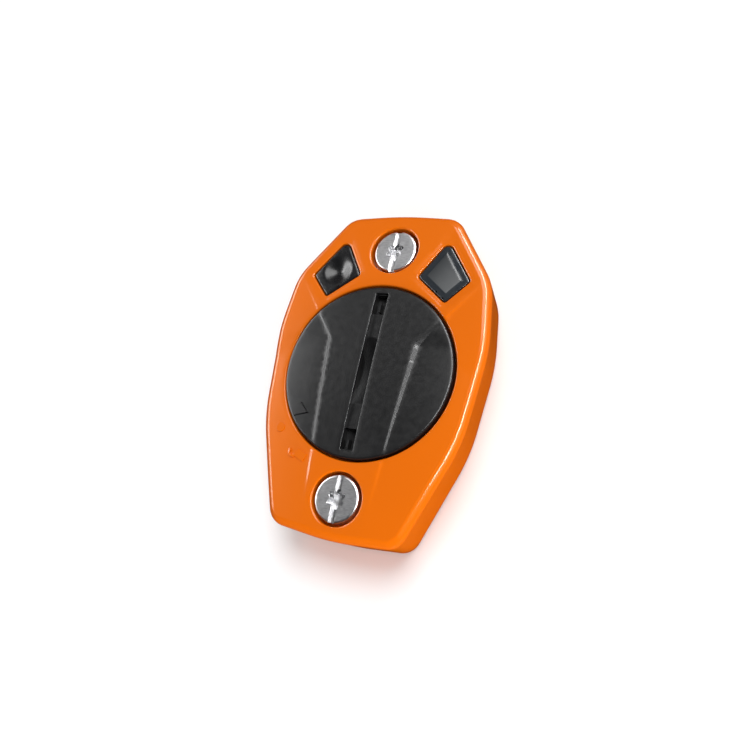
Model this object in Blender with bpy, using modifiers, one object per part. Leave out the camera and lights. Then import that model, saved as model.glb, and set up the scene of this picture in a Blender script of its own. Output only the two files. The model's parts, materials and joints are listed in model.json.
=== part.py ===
"""Screw-on radio beacon tag, lying on its back.

Frame: metres, +X to the right, +Y along the body towards the button end, +Z out
of the front face.  The origin is the centre of the rear mounting land, half way
between the two fixing screws.  Dimensions below are in millimetres.
"""
import math

import bmesh
import bpy
from mathutils import Matrix, Vector

MM = 0.001

# Body -------------------------------------------------------------------------
FACE_Z = 9.6             # front face
RIM_Z = 0.25             # rear edge of the housing wall
DRAFT = 0.06             # how much narrower the rear outline is than the front
EDGE_ROUND = 1.2         # rounding of the front edge
FRONT_WALL_Z = 8.0       # inside of the front wall
WALL = 1.6               # side wall
REBATE_WALL = 0.9        # side wall beside the rear cover
REBATE_Z = 2.4           # shoulder that the rear seal meets
PANEL_STEP = 0.3         # the side panels lie this far below the raised band

# Battery compartment ----------------------------------------------------------
CAP_Y = -0.35
OPENING_R = 13.2
CAP_R = 12.85
CAP_TOP = 10.0           # middle of the cap, proud of the face
CAP_EDGE = 9.7           # rim of the cap
CAP_CROWN_R = 7.0        # inside this radius the cap is flat
CAP_CHAMFER = 0.25
CAP_UNDERSIDE = 7.7
SKIRT_R = 11.6
SKIRT_INNER_R = 10.6
SKIRT_FOOT = 5.1
SEAT_Z = 6.85            # ledge under the O-ring
LEDGE_Z = 6.05           # underside of the bayonet ledge
LEDGE_R = 11.9
WELL_R = 12.8
WELL_OUTER_R = 13.9
WELL_FOOT = 4.1
O_RING_R = 12.2
O_RING_THICK = 0.7
O_RING_Z = 7.28
LUG_R = 12.5
LUG_TOP = 5.9
LUG_ANGLES = (90.0, 210.0, 330.0)
LUG_WIDTH = 3.0
LUG_DEPTH = 1.6
UNLOCK_TURN = 20.0       # degrees, anticlockwise seen from the front
UNLOCK_RISE = 0.4
NOTCH_WIDTH = 4.0
RAMP_CLEARANCE = 0.3
RAMP_EXTRA = 3.4         # a ramp is longer than the lug's travel by the lug and its play
LEDGE_CUT = 2.0          # radial width of the notches and the ramps
STOP_ANGLE = 10.5        # from a lug at rest to the rib that stops it
STOP_RIB = (1.5, 0.8)

# Coin slot --------------------------------------------------------------------
SLOT_WIDTH = 1.95
SLOT_LENGTH = 24.0
SLOT_DEPTH = 0.5
COIN_CHORD = 9.4
COIN_DEPTH = 1.45
POCKET_LENGTH = 3.0
POCKET_DEPTH = 1.6
POCKET_Y = 10.15

# Coin cell, 20 x 3.2 ----------------------------------------------------------
CELL_R = 10.0
CELL_FOOT = 4.3
CELL_TOP = 7.5
CELL_WALL = 0.35
CELL_LIP = 0.25          # the can stops this far above the anode's face
CELL_GAP = 0.12
ANODE_R = 8.88
HOLDER_GAP = 0.35
CONTACT_GAP = (5.6, 4.0)
LEAF_THICKNESS = 0.15

# Screws -----------------------------------------------------------------------
SCREW_Y = 18.75
HEAD_R = 3.25
HEAD_FOOT = 7.25
HEAD_TOP = 9.05
HEAD_CHAMFER = 0.3
DRIVE_DEPTH = 1.3
DRIVE_R = 1.42
DRIVE_WAVE = 0.24
DRIVE_SLOT = (1.0, 8.0)
DRIVE_SLOT_DEPTH = 0.75
TIP_Z = 0.25             # the screw ends inside its sleeve
TIP_CHAMFER = 0.4
SHANK_R = 1.5
RECESS_R = 3.75
RECESS_FLOOR = 6.95
BOSS_R = 4.8
BOSS_FOOT = 2.3
SLEEVE_R = 2.6
SLEEVE_BORE = 1.8
SLEEVE_HOLE_R = 2.9
SLEEVE_TOP = 6.0
SLEEVE_FOOT = 0.1
SEAL_GAP = 0.15          # between a seal and what it will be pressed against

# Rear cover and board ---------------------------------------------------------
COVER_FOOT = 0.3
COVER_TOP = 1.5
BOARD_POST_R = 0.9
BOARD_POSTS = ((-10.6, 9.5), (10.6, 9.5), (-9.6, -9.5), (9.6, -9.5))
COVER_INSET = 1.2
LAND_SIZE = (18.0, 26.0)
SEAL_WIDTH = 0.5
BOSS_SEAL_GAP = 0.25
BOARD_FOOT = 3.0
BOARD_TOP = 3.8
BOARD_INSET = 2.0
BOARD_BOSS_GAP = 0.4
SOLDER = 0.1             # gap between the board and what is soldered to it
SHIELD_SIZE = (10.0, 8.0)
SHIELD_WALL = 0.25
SHIELD_PLACE = (0.0, 4.6)
RADIO_CHIP = (5.0, 5.0)
CHIP_CHAMFER = 0.08

# Button and window ------------------------------------------------------------
WINDOW_GAP = 0.3
WINDOW_TOP = 9.35
FLANGE = 0.3
FLANGE_FOOT = 6.9
FLANGE_TOP = 7.3
LIP_SEAL_GAP = 0.1
BUTTON_DISH_R = 7.0
BUTTON_DISH_DEPTH = 0.8
POST_FOOT = 6.1
POST_R = 1.2
PLUNGER_R = 0.85
SWITCH_BORE = 1.15
SWITCH_SIZE = (4.2, 4.2)

# Right half of the front outline, top to bottom: x, y, corner radius.
OUTLINE = (
    (8.9, 24.45, 3.5),
    (15.85, 14.2, 9.0),
    (17.05, 4.9, 26.0),
    (15.75, -8.6, 26.0),
    (9.95, -23.65, 3.0),
)
OUTLINE_TOP = (0.0, 25.05, 60.0)
OUTLINE_FOOT = (0.0, -24.5, 40.0)

# Right-hand window, top corner first, clockwise; the button's is its mirror.
WINDOW = ((8.3, 20.5, 1.0), (12.75, 14.15, 0.5), (9.55, 10.6, 0.5), (4.6, 14.55, 0.6))

# Right-hand side panel: the raised band's two edges meet at its first corner.
PANEL = ((6.7, 4.15), (13.4, 12.6), (30.0, 12.6), (30.0, -30.0), (3.9, -30.0))

TURNED_SEGMENTS = 40
SMALLEST_RADIUS = 0.3
OVERSHOOT = 1.0          # how far a cutter runs past what it cuts
EMBED = 0.4              # how far a joined solid runs into the other


# Scene ------------------------------------------------------------------------
def clear_scene():
    for obj in list(bpy.data.objects):
        bpy.data.objects.remove(obj, do_unlink=True)


def collection(name):
    found = bpy.data.collections.get(name) or bpy.data.collections.new(name)
    if name not in bpy.context.scene.collection.children:
        bpy.context.scene.collection.children.link(found)
    return found


clear_scene()
PARTS = collection("beacon_tag")
CUTTERS = collection("cutters")


def material(name, colour, roughness, metallic=0.0):
    found = bpy.data.materials.get(name)
    if found:
        return found
    made = bpy.data.materials.new(name)
    made.use_nodes = True
    shader = made.node_tree.nodes["Principled BSDF"]
    shader.inputs["Base Color"].default_value = (*colour, 1.0)
    shader.inputs["Roughness"].default_value = roughness
    shader.inputs["Metallic"].default_value = metallic
    made.diffuse_color = (*colour, 1.0)
    return made


ORANGE = material("orange_plastic", (0.85, 0.16, 0.0), 0.35)
BLACK = material("black_plastic", (0.017, 0.017, 0.019), 0.42)
GLOSS_BLACK = material("gloss_black_plastic", (0.01, 0.01, 0.011), 0.12)
SMOKED = material("smoked_lens", (0.06, 0.065, 0.07), 0.08)
CLEAR = material("clear_plastic", (0.8, 0.85, 0.88), 0.06)
RUBBER = material("seal_rubber", (0.03, 0.03, 0.032), 0.7)
STEEL = material("screw_steel", (0.62, 0.62, 0.63), 0.28, 1.0)
CELL_STEEL = material("cell_steel", (0.72, 0.72, 0.72), 0.22, 1.0)
SHIELD = material("shield_tin", (0.66, 0.67, 0.68), 0.33, 1.0)
BRASS = material("sleeve_brass", (0.72, 0.53, 0.22), 0.3, 1.0)
GOLD = material("contact_gold", (0.85, 0.62, 0.25), 0.25, 1.0)
SOLDER_MASK = material("board_green", (0.01, 0.12, 0.05), 0.38)
CHIP = material("chip_black", (0.02, 0.02, 0.022), 0.5)
CERAMIC = material("ceramic_tan", (0.42, 0.3, 0.2), 0.5)


# Meshes -----------------------------------------------------------------------
def finish(obj, mat):
    obj.data.materials.clear()
    obj.data.materials.append(mat)
    obj.data.shade_smooth()
    obj.data.set_sharp_from_angle(angle=math.radians(32))
    return obj


def node(name, mesh, mat, place=(0.0, 0.0)):
    """One named piece of the object, its origin on its own axis."""
    obj = bpy.data.objects.new(name, mesh)
    obj.location = (place[0] * MM, place[1] * MM, 0.0)
    PARTS.objects.link(obj)
    return finish(obj, mat)


def tool(name, mesh, place=(0.0, 0.0)):
    """A cutter or an addition for a Boolean; it isn't a piece of the object."""
    obj = bpy.data.objects.new(name, mesh)
    obj.location = (place[0] * MM, place[1] * MM, 0.0)
    obj.hide_render = True
    obj.display_type = "WIRE"
    CUTTERS.objects.link(obj)
    return obj


def combine(obj, operation, *tools):
    for other in tools:
        step = obj.modifiers.new(f"{operation.lower()}_{other.name}", "BOOLEAN")
        step.operation = operation
        step.object = other
    return obj


def cut(obj, *tools):
    return combine(obj, "DIFFERENCE", *tools)


def add(obj, *tools):
    return combine(obj, "UNION", *tools)


def evaluated(source):
    """The mesh of an object with its modifiers applied; the object is removed."""
    graph = bpy.context.evaluated_depsgraph_get()
    graph.update()
    mesh = bpy.data.meshes.new_from_object(source.evaluated_get(graph))
    bpy.data.objects.remove(source, do_unlink=True)
    return mesh


def prism(loops, low, high):
    """A flat outline, with any holes, given a thickness from low to high."""
    curve = bpy.data.curves.new("outline", "CURVE")
    curve.dimensions = "2D"
    curve.fill_mode = "BOTH"
    curve.extrude = (high - low) / 2 * MM
    for loop in loops:
        spline = curve.splines.new("POLY")
        spline.points.add(len(loop) - 1)
        for point, (x, y) in zip(spline.points, loop):
            point.co = (x * MM, y * MM, 0.0, 1.0)
        spline.use_cyclic_u = True
    source = bpy.data.objects.new("outline", curve)
    CUTTERS.objects.link(source)
    mesh = evaluated(source)
    bm = bmesh.new()
    bm.from_mesh(mesh)
    bmesh.ops.remove_doubles(bm, verts=bm.verts, dist=1e-6)
    bmesh.ops.recalc_face_normals(bm, faces=bm.faces)
    bmesh.ops.translate(bm, verts=bm.verts, vec=(0, 0, (low + high) / 2 * MM))
    bm.to_mesh(mesh)
    bm.free()
    return mesh


def turned(profile, segments=TURNED_SEGMENTS, closed=False):
    """A profile of (radius, z) points, top to bottom outside, spun about Z."""
    mesh = bpy.data.meshes.new("turned")
    count = len(profile)
    edges = [(i, i + 1) for i in range(count - 1)]
    if closed:
        edges.append((count - 1, 0))
    mesh.from_pydata([(r * MM, 0.0, z * MM) for r, z in profile], edges, [])
    source = bpy.data.objects.new("turned", mesh)
    CUTTERS.objects.link(source)
    spin = source.modifiers.new("spin", "SCREW")
    spin.steps = segments
    spin.render_steps = segments
    spin.use_merge_vertices = True
    spin.merge_threshold = 0.00001
    mesh = evaluated(source)
    bm = bmesh.new()
    bm.from_mesh(mesh)
    on_axis = [v for v in bm.verts if v.co.xy.length < 1e-7]
    bmesh.ops.dissolve_verts(bm, verts=on_axis)
    bm.to_mesh(mesh)
    bm.free()
    return mesh


def ring(inner, outer, low, high, segments=TURNED_SEGMENTS):
    profile = [(outer, high), (outer, low), (inner, low), (inner, high)]
    return turned(profile, segments, closed=True)


def disc(radius, low, high, segments=TURNED_SEGMENTS):
    return turned([(0, high), (radius, high), (radius, low), (0, low)], segments)


def block(size, low, high, bevel=0.0):
    """A box of (x, y) size about the Z axis, from low to high."""
    bm = bmesh.new()
    bmesh.ops.create_cube(bm, size=1.0)
    bmesh.ops.scale(bm, vec=(size[0] * MM, size[1] * MM, (high - low) * MM), verts=bm.verts)
    bmesh.ops.translate(bm, vec=(0, 0, (low + high) / 2 * MM), verts=bm.verts)
    if bevel:
        bmesh.ops.bevel(bm, geom=bm.edges[:], offset=bevel * MM, segments=1, affect="EDGES")
    mesh = bpy.data.meshes.new("block")
    bm.to_mesh(mesh)
    bm.free()
    return mesh


def torus(major, minor, z, around=TURNED_SEGMENTS, across=8):
    profile = []
    for i in range(across):
        a = -2 * math.pi * i / across
        profile.append((major + minor * math.cos(a), z + minor * math.sin(a)))
    return turned(profile, around, closed=True)


def polar_move(angle, radius):
    """Move something from the axis out to a radius, turned to face it."""
    return Matrix.Rotation(math.radians(angle), 4, "Z") @ Matrix.Translation((radius * MM, 0, 0))


# Outlines ---------------------------------------------------------------------
def round_corners(corners, step=12.0):
    """Points of a closed polygon whose (x, y, radius) corners become arcs."""
    points = []
    count = len(corners)
    for i, (x, y, radius) in enumerate(corners):
        here = Vector((x, y))
        before = (Vector(corners[i - 1][:2]) - here).normalized()
        after = (Vector(corners[(i + 1) % count][:2]) - here).normalized()
        half = before.angle(after) / 2
        centre = here + (before + after).normalized() * (radius / math.sin(half))
        start = here + before * (radius / math.tan(half)) - centre
        turn = math.pi - 2 * half
        if before.cross(after) > 0:
            turn = -turn
        steps = max(2, math.ceil(abs(math.degrees(turn)) / step))
        for j in range(steps + 1):
            points.append(tuple(centre + Matrix.Rotation(turn * j / steps, 2) @ start))
    return points


def offset(corners, distance):
    """The (x, y, radius) corners of a clockwise outline moved outwards."""
    grown = []
    count = len(corners)
    for i, (x, y, radius) in enumerate(corners):
        here = Vector((x, y))
        along_in = (here - Vector(corners[i - 1][:2])).normalized()
        along_out = (Vector(corners[(i + 1) % count][:2]) - here).normalized()
        normal_in = Vector((-along_in.y, along_in.x))
        normal_out = Vector((-along_out.y, along_out.x))
        middle = (normal_in + normal_out).normalized()
        place = here + middle * (distance / middle.dot(normal_in))
        grown.append((place.x, place.y, max(SMALLEST_RADIUS, radius + distance)))
    return grown


def body_outline(inset=0.0, z=FACE_Z):
    """The body's outline at a height, clockwise from the top."""
    left = [(-x, y, r) for x, y, r in reversed(OUTLINE)]
    corners = [OUTLINE_TOP, *OUTLINE, OUTLINE_FOOT, *left]
    narrowing = 1.0 - DRAFT * (FACE_Z - z) / FACE_Z
    return [(x * narrowing, y) for x, y in round_corners(offset(corners, -inset))]


def window_outline(grow=0.0, mirror=False):
    points = round_corners(offset(WINDOW, grow), 22.5)
    if mirror:
        points = [(-x, y) for x, y in reversed(points)]
    return points


def window_centre(mirror=False):
    x = sum(corner[0] for corner in WINDOW) / len(WINDOW)
    y = sum(corner[1] for corner in WINDOW) / len(WINDOW)
    return (-x if mirror else x, y)


def about(points, centre):
    return [(x - centre[0], y - centre[1]) for x, y in points]


# Housing ----------------------------------------------------------------------
def drafted_body():
    """The solid outer form: narrower at the rear, rounded at the front edge."""
    mesh = prism([body_outline()], RIM_Z, FACE_Z)
    middle = (RIM_Z + FACE_Z) / 2 * MM
    bm = bmesh.new()
    bm.from_mesh(mesh)
    for vert in bm.verts:
        if vert.co.z < middle:
            vert.co.x *= 1.0 - DRAFT
    edges = [e for e in bm.edges
             if e.verts[0].co.z > middle and e.verts[1].co.z > middle
             and e.calc_face_angle(0.0) > math.radians(60)]
    bmesh.ops.bevel(bm, geom=edges, offset=EDGE_ROUND * MM, segments=3, profile=0.5,
                    affect="EDGES")
    bm.to_mesh(mesh)
    bm.free()
    return mesh


def bayonet_tools():
    """Cuts for the entry notches and the ramps, and the ribs that stop the lugs."""
    cuts, ribs = [], []
    mean_r = (LEDGE_R + WELL_R) / 2
    run = math.radians(UNLOCK_TURN) * mean_r
    slope = math.atan2(UNLOCK_RISE, run)
    for i, angle in enumerate(LUG_ANGLES):
        notch = block((LEDGE_CUT, NOTCH_WIDTH), LEDGE_Z - EMBED, SEAT_Z + EMBED)
        notch.transform(polar_move(angle + UNLOCK_TURN, WELL_R - LEDGE_CUT / 2))
        cuts.append(tool(f"notch_{i + 1}", notch, (0, CAP_Y)))
        half_turn = UNLOCK_TURN / 2
        ramp = block((LEDGE_CUT, run + RAMP_EXTRA), -OVERSHOOT, 0.0)
        ramp.transform(Matrix.Rotation(slope, 4, "X"))
        height = LUG_TOP + RAMP_CLEARANCE + UNLOCK_RISE / 2
        ramp.transform(Matrix.Translation((0, 0, height * MM)))
        ramp.transform(polar_move(angle + half_turn, WELL_R - LEDGE_CUT / 2))
        cuts.append(tool(f"ramp_{i + 1}", ramp, (0, CAP_Y)))
        rib = block(STOP_RIB, SKIRT_FOOT, LEDGE_Z + EMBED)
        rib.transform(polar_move(angle - STOP_ANGLE, WELL_R))
        ribs.append(tool(f"stop_rib_{i + 1}", rib, (0, CAP_Y)))
    return cuts, ribs


def panel_tool(name, side, floor):
    """Takes a side panel down from the raised band; side is 1 right or -1 left."""
    points = [(side * x, y) for x, y in PANEL]
    if side < 0:
        points.reverse()
    return tool(name, prism([points], floor, CAP_TOP + OVERSHOOT))


def front_housing():
    housing = node("front_housing", drafted_body(), ORANGE)
    rebate = prism([body_outline(REBATE_WALL, COVER_TOP)], -OVERSHOOT, REBATE_Z)
    cavity = prism([body_outline(WALL, BOARD_TOP)], REBATE_Z - EMBED, FRONT_WALL_Z)
    cut(housing, tool("rebate", rebate), tool("cavity", cavity))
    add(housing, tool("well", disc(WELL_OUTER_R, WELL_FOOT, FRONT_WALL_Z + EMBED), (0, CAP_Y)))
    for y in (SCREW_Y, -SCREW_Y):
        add(housing, tool("boss", disc(BOSS_R, BOSS_FOOT, FRONT_WALL_Z + EMBED, 32), (0, y)))
    above = FACE_Z + OVERSHOOT
    bore = turned([(0, above), (OPENING_R, above), (OPENING_R, SEAT_Z), (LEDGE_R, SEAT_Z),
                   (LEDGE_R, LEDGE_Z), (WELL_R, LEDGE_Z), (WELL_R, WELL_FOOT - OVERSHOOT),
                   (0, WELL_FOOT - OVERSHOOT)])
    cut(housing, tool("bore", bore, (0, CAP_Y)))
    cuts, ribs = bayonet_tools()
    cut(housing, *cuts)
    add(housing, *ribs)
    for y in (SCREW_Y, -SCREW_Y):
        hole = turned([(0, above), (RECESS_R, above), (RECESS_R, RECESS_FLOOR),
                       (SLEEVE_BORE, RECESS_FLOOR), (SLEEVE_BORE, SLEEVE_TOP + SEAL_GAP),
                       (SLEEVE_HOLE_R, SLEEVE_TOP + SEAL_GAP),
                       (SLEEVE_HOLE_R, BOSS_FOOT - OVERSHOOT), (0, BOSS_FOOT - OVERSHOOT)], 36)
        cut(housing, tool("screw_hole", hole, (0, y)))
    for mirror in (False, True):
        opening = prism([window_outline(0.0, mirror)], FRONT_WALL_Z - OVERSHOOT, above)
        cut(housing, tool("window_opening", opening))
    floor = FACE_Z - PANEL_STEP
    cut(housing, panel_tool("right_panel", 1, floor), panel_tool("left_panel", -1, floor))
    return housing


def rear_cover():
    plate = prism([body_outline(COVER_INSET, COVER_TOP)], COVER_FOOT, COVER_TOP)
    cover = node("rear_cover", plate, ORANGE)
    add(cover, tool("land", block(LAND_SIZE, 0.0, COVER_FOOT + EMBED)))
    for i, (x, y) in enumerate(BOARD_POSTS):
        post = disc(BOARD_POST_R, COVER_TOP - EMBED, BOARD_FOOT - SEAL_GAP, 16)
        add(cover, tool(f"board_post_{i + 1}", post, (x, y)))
    for y in (SCREW_Y, -SCREW_Y):
        cut(cover, tool("sleeve_hole", disc(SLEEVE_HOLE_R, -OVERSHOOT, COVER_TOP + OVERSHOOT, 32),
                        (0, y)))
    return cover


def rear_seal():
    outer = body_outline(COVER_INSET, COVER_TOP)
    inner = body_outline(COVER_INSET + SEAL_WIDTH, COVER_TOP)
    seal = prism([outer, inner], COVER_TOP + SEAL_GAP, REBATE_Z - SEAL_GAP)
    return node("rear_seal", seal, RUBBER)


# Battery cap and cell ---------------------------------------------------------
def battery_cap():
    profile = [(0, CAP_TOP), (CAP_CROWN_R, CAP_TOP), (CAP_R - CAP_CHAMFER, CAP_EDGE),
               (CAP_R, CAP_EDGE - CAP_CHAMFER), (CAP_R, CAP_UNDERSIDE), (SKIRT_R, CAP_UNDERSIDE),
               (SKIRT_R, SKIRT_FOOT), (SKIRT_INNER_R, SKIRT_FOOT),
               (SKIRT_INNER_R, CAP_UNDERSIDE), (0, CAP_UNDERSIDE)]
    cap = node("battery_cap", turned(profile, 64), BLACK, (0, CAP_Y))
    for i, angle in enumerate(LUG_ANGLES):
        lug = block((LUG_DEPTH, LUG_WIDTH), SKIRT_FOOT, LUG_TOP)
        lug.transform(polar_move(angle, LUG_R - LUG_DEPTH / 2))
        add(cap, tool(f"lug_{i + 1}", lug, (0, CAP_Y)))
    coin_r = (COIN_CHORD ** 2 / 4 + COIN_DEPTH ** 2) / (2 * COIN_DEPTH)
    coin = disc(coin_r, -SLOT_WIDTH / 2, SLOT_WIDTH / 2, 96)
    coin.transform(Matrix.Rotation(math.radians(90), 4, "Y"))
    coin.transform(Matrix.Translation((0, 0, (CAP_TOP - COIN_DEPTH + coin_r) * MM)))
    above = CAP_TOP + OVERSHOOT
    slot = block((SLOT_WIDTH, SLOT_LENGTH), CAP_TOP - SLOT_DEPTH, above)
    cut(cap, tool("coin_arc", coin, (0, CAP_Y)), tool("coin_slot", slot, (0, CAP_Y)))
    for i, y in enumerate((POCKET_Y, -POCKET_Y)):
        pocket = block((SLOT_WIDTH, POCKET_LENGTH), CAP_TOP - POCKET_DEPTH, above)
        cut(cap, tool(f"slot_pocket_{i + 1}", pocket, (0, CAP_Y + y)))
    cut(cap, panel_tool("right_cap_panel", 1, CAP_EDGE), panel_tool("left_cap_panel", -1, CAP_EDGE))
    return cap


def coin_cell():
    bore = CELL_R - CELL_WALL
    inside = CELL_TOP - CELL_WALL
    lip = CELL_FOOT + CELL_LIP
    can = [(0, CELL_TOP), (CELL_R, CELL_TOP), (CELL_R, lip), (bore, lip), (bore, inside),
           (0, inside)]
    node("cell_can", turned(can), CELL_STEEL, (0, CAP_Y))
    gasket = ring(ANODE_R + CELL_GAP, bore - CELL_GAP, CELL_FOOT + CELL_GAP, inside - SEAL_GAP)
    node("cell_gasket", gasket, RUBBER, (0, CAP_Y))
    anode = disc(ANODE_R, CELL_FOOT, inside - SEAL_GAP)
    node("cell_anode_cap", anode, CELL_STEEL, (0, CAP_Y))


def cell_holder():
    """Ring on the board that centres the cell, open where the contacts pass."""
    body = ring(CELL_R + HOLDER_GAP, WELL_R - HOLDER_GAP, BOARD_TOP + SOLDER, SKIRT_FOOT - CELL_LIP)
    holder = node("cell_holder", body, BLACK, (0, CAP_Y))
    gap = block(CONTACT_GAP, BOARD_TOP - OVERSHOOT, SKIRT_FOOT + OVERSHOOT)
    return cut(holder, tool("contact_gap", gap, (0, CAP_Y + CELL_R + 1.5)))


def side_prism(outline, width):
    """An outline of (y, z) points given a width along X."""
    mesh = prism([outline], -width / 2, width / 2)
    mesh.transform(Matrix(((0, 0, 1, 0), (1, 0, 0, 0), (0, 1, 0, 0), (0, 0, 0, 1))))
    return mesh


def contacts():
    """Sprung strips: a leaf under the cell and an angle that touches its can."""
    foot = BOARD_TOP + SOLDER
    leaf = [(-5.5, foot), (-1.0, foot), (2.6, foot + 0.2), (3.6, foot + 0.2), (4.6, foot + 0.1)]
    upper = [(y, z + LEAF_THICKNESS) for y, z in reversed(leaf)]
    node("negative_contact", side_prism(leaf + upper, 3.6), GOLD, (0, CAP_Y))
    near = CELL_R + 0.15
    top = SKIRT_FOOT - 0.15
    angle = [(near + 1.95, foot), (near + 1.95, foot + 0.2), (near + 0.25, foot + 0.2),
             (near + 0.2, top), (near, top), (near, foot)]
    node("positive_contact", side_prism(angle, 4.0), GOLD, (0, CAP_Y))


# Screws -----------------------------------------------------------------------
def drive_outline():
    """Six-lobed drive: a wave around a circle."""
    count = 36
    points = []
    for i in range(count):
        a = -2 * math.pi * i / count
        radius = DRIVE_R + DRIVE_WAVE * math.cos(6 * a)
        points.append((radius * math.cos(a), radius * math.sin(a)))
    return points


def screw(name, y):
    profile = [(0, HEAD_TOP), (HEAD_R - HEAD_CHAMFER, HEAD_TOP),
               (HEAD_R, HEAD_TOP - HEAD_CHAMFER), (HEAD_R, HEAD_FOOT), (SHANK_R, HEAD_FOOT),
               (SHANK_R, TIP_Z + TIP_CHAMFER), (SHANK_R - TIP_CHAMFER, TIP_Z), (0, TIP_Z)]
    body = node(name, turned(profile, 32), STEEL, (0, y))
    drive = prism([drive_outline()], HEAD_TOP - DRIVE_DEPTH, HEAD_TOP + OVERSHOOT)
    slot = block(DRIVE_SLOT, HEAD_TOP - DRIVE_SLOT_DEPTH, HEAD_TOP + OVERSHOOT)
    cut(body, tool("drive", drive, (0, y)), tool("drive_slot", slot, (0, y)))


def screws():
    for name, y in (("upper", SCREW_Y), ("lower", -SCREW_Y)):
        screw(f"{name}_screw", y)
        sleeve = ring(SLEEVE_BORE, SLEEVE_R, SLEEVE_FOOT, SLEEVE_TOP, 32)
        node(f"{name}_screw_sleeve", sleeve, BRASS, (0, y))
        inner = SLEEVE_R + BOSS_SEAL_GAP
        seal = ring(inner, inner + SEAL_WIDTH, COVER_TOP + SEAL_GAP, BOSS_FOOT - SEAL_GAP, 32)
        node(f"{name}_boss_seal", seal, RUBBER, (0, y))


# Button and window ------------------------------------------------------------
def stepped_insert(name, mat, mirror):
    """A body that fills a window opening, with a flange behind the front wall."""
    centre = window_centre(mirror)
    body = prism([about(window_outline(-WINDOW_GAP, mirror), centre)], FLANGE_TOP - FLANGE / 2,
                 WINDOW_TOP)
    flange = prism([about(window_outline(FLANGE, mirror), centre)], FLANGE_FOOT, FLANGE_TOP)
    insert = node(name, body, mat, centre)
    return add(insert, tool(f"{name}_flange", flange, centre)), centre


def lip_seal(name, mirror):
    centre = window_centre(mirror)
    outer = about(window_outline(FLANGE, mirror), centre)
    inner = about(window_outline(-LIP_SEAL_GAP, mirror), centre)
    low, high = FLANGE_TOP + LIP_SEAL_GAP, FRONT_WALL_Z - LIP_SEAL_GAP
    node(name, prism([outer, inner], low, high), RUBBER, centre)


def button():
    cap, centre = stepped_insert("button_cap", GLOSS_BLACK, True)
    add(cap, tool("button_post", disc(POST_R, POST_FOOT, FLANGE_FOOT + FLANGE / 2, 20), centre))
    bm = bmesh.new()
    bmesh.ops.create_uvsphere(bm, u_segments=32, v_segments=24, radius=BUTTON_DISH_R * MM)
    height = WINDOW_TOP - BUTTON_DISH_DEPTH + BUTTON_DISH_R
    bmesh.ops.translate(bm, verts=bm.verts, vec=(0, 0, height * MM))
    ball = bpy.data.meshes.new("button_dish")
    bm.to_mesh(ball)
    bm.free()
    cut(cap, tool("button_dish", ball, centre))
    lip_seal("button_seal", True)
    base = BOARD_TOP + SOLDER
    switch = node("switch_body", block(SWITCH_SIZE, base, base + 1.2, 0.15), BLACK, centre)
    cut(switch, tool("switch_bore", disc(SWITCH_BORE, base + 0.25, POST_FOOT, 20), centre))
    cover = node("switch_cover", block(SWITCH_SIZE, base + 1.3, base + 1.5), SHIELD, centre)
    cut(cover, tool("cover_bore", disc(SWITCH_BORE, base, POST_FOOT, 20), centre))
    node("switch_plunger", disc(PLUNGER_R, base + 0.8, POST_FOOT - 0.2, 20), CHIP, centre)


def window():
    lens, centre = stepped_insert("indicator_window", SMOKED, False)
    lip_seal("window_seal", False)
    base = BOARD_TOP + SOLDER
    led = node("status_led", block((3.2, 2.8), base, base + 0.7, 0.1), CLEAR, centre)
    add(led, tool("led_dome", disc(1.0, base + 0.5, base + 0.95, 20), centre))
    guide = turned([(0, 6.7), (2.0, 6.7), (1.3, base + 1.1), (0, base + 1.1)], 24)
    node("light_guide", guide, CLEAR, centre)
    return lens


# Board ------------------------------------------------------------------------
def circuit_board():
    plate = prism([body_outline(BOARD_INSET, BOARD_TOP)], BOARD_FOOT, BOARD_TOP)
    board = node("circuit_board", plate, SOLDER_MASK)
    radius = BOSS_R + BOARD_BOSS_GAP
    for y in (SCREW_Y, -SCREW_Y):
        cut(board, tool("boss_hole", disc(radius, BOARD_FOOT - OVERSHOOT, BOARD_TOP + OVERSHOOT, 32),
                        (0, y)))
    return board


def shield_can():
    """Tin lid over the radio chip, open towards the board above it."""
    top = BOARD_FOOT - SOLDER
    low = COVER_TOP + SEAL_GAP
    can = node("radio_shield_can", block(SHIELD_SIZE, low, top), SHIELD, SHIELD_PLACE)
    inside = tuple(side - 2 * SHIELD_WALL for side in SHIELD_SIZE)
    hollow = block(inside, low + SHIELD_WALL, top + OVERSHOOT)
    cut(can, tool("shield_hollow", hollow, SHIELD_PLACE))
    chip = block(RADIO_CHIP, top - 0.8, top, CHIP_CHAMFER)
    node("radio_chip", chip, CHIP, SHIELD_PLACE)


def board_parts():
    """Parts soldered to the board's rear face, then those on its front face."""
    under = BOARD_FOOT - SOLDER
    rear = (
        ("controller_chip", (6.0, 6.0), 0.9, CHIP, (-2.6, -5.2)),
        ("motion_sensor", (2.5, 2.0), 0.9, CHIP, (6.4, -4.0)),
        ("memory_chip", (3.9, 3.0), 0.8, CHIP, (4.6, -8.6)),
        ("power_inductor", (3.0, 3.0), 1.1, CHIP, (-9.0, 4.2)),
        ("crystal", (3.2, 2.5), 0.7, SHIELD, (-8.6, -4.4)),
        ("reservoir_capacitor", (3.5, 2.8), 1.15, CERAMIC, (9.0, 4.4)),
    )
    for name, size, height, mat, place in rear:
        node(name, block(size, under - height, under, CHIP_CHAMFER), mat, place)
    antenna = block((2.0, 6.5), BOARD_TOP + SOLDER, BOARD_TOP + SOLDER + 1.0, 0.1)
    node("chip_antenna", antenna, CERAMIC, (7.2, -15.9))
    for i, (x, y) in enumerate(((-8.6, 0.2), (8.6, 0.2), (0.9, -11.0), (-5.6, -11.0))):
        chip = block((1.0, 2.0), under - 0.6, under, CHIP_CHAMFER)
        node(f"ceramic_capacitor_{i + 1}", chip, CERAMIC, (x, y))


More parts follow.
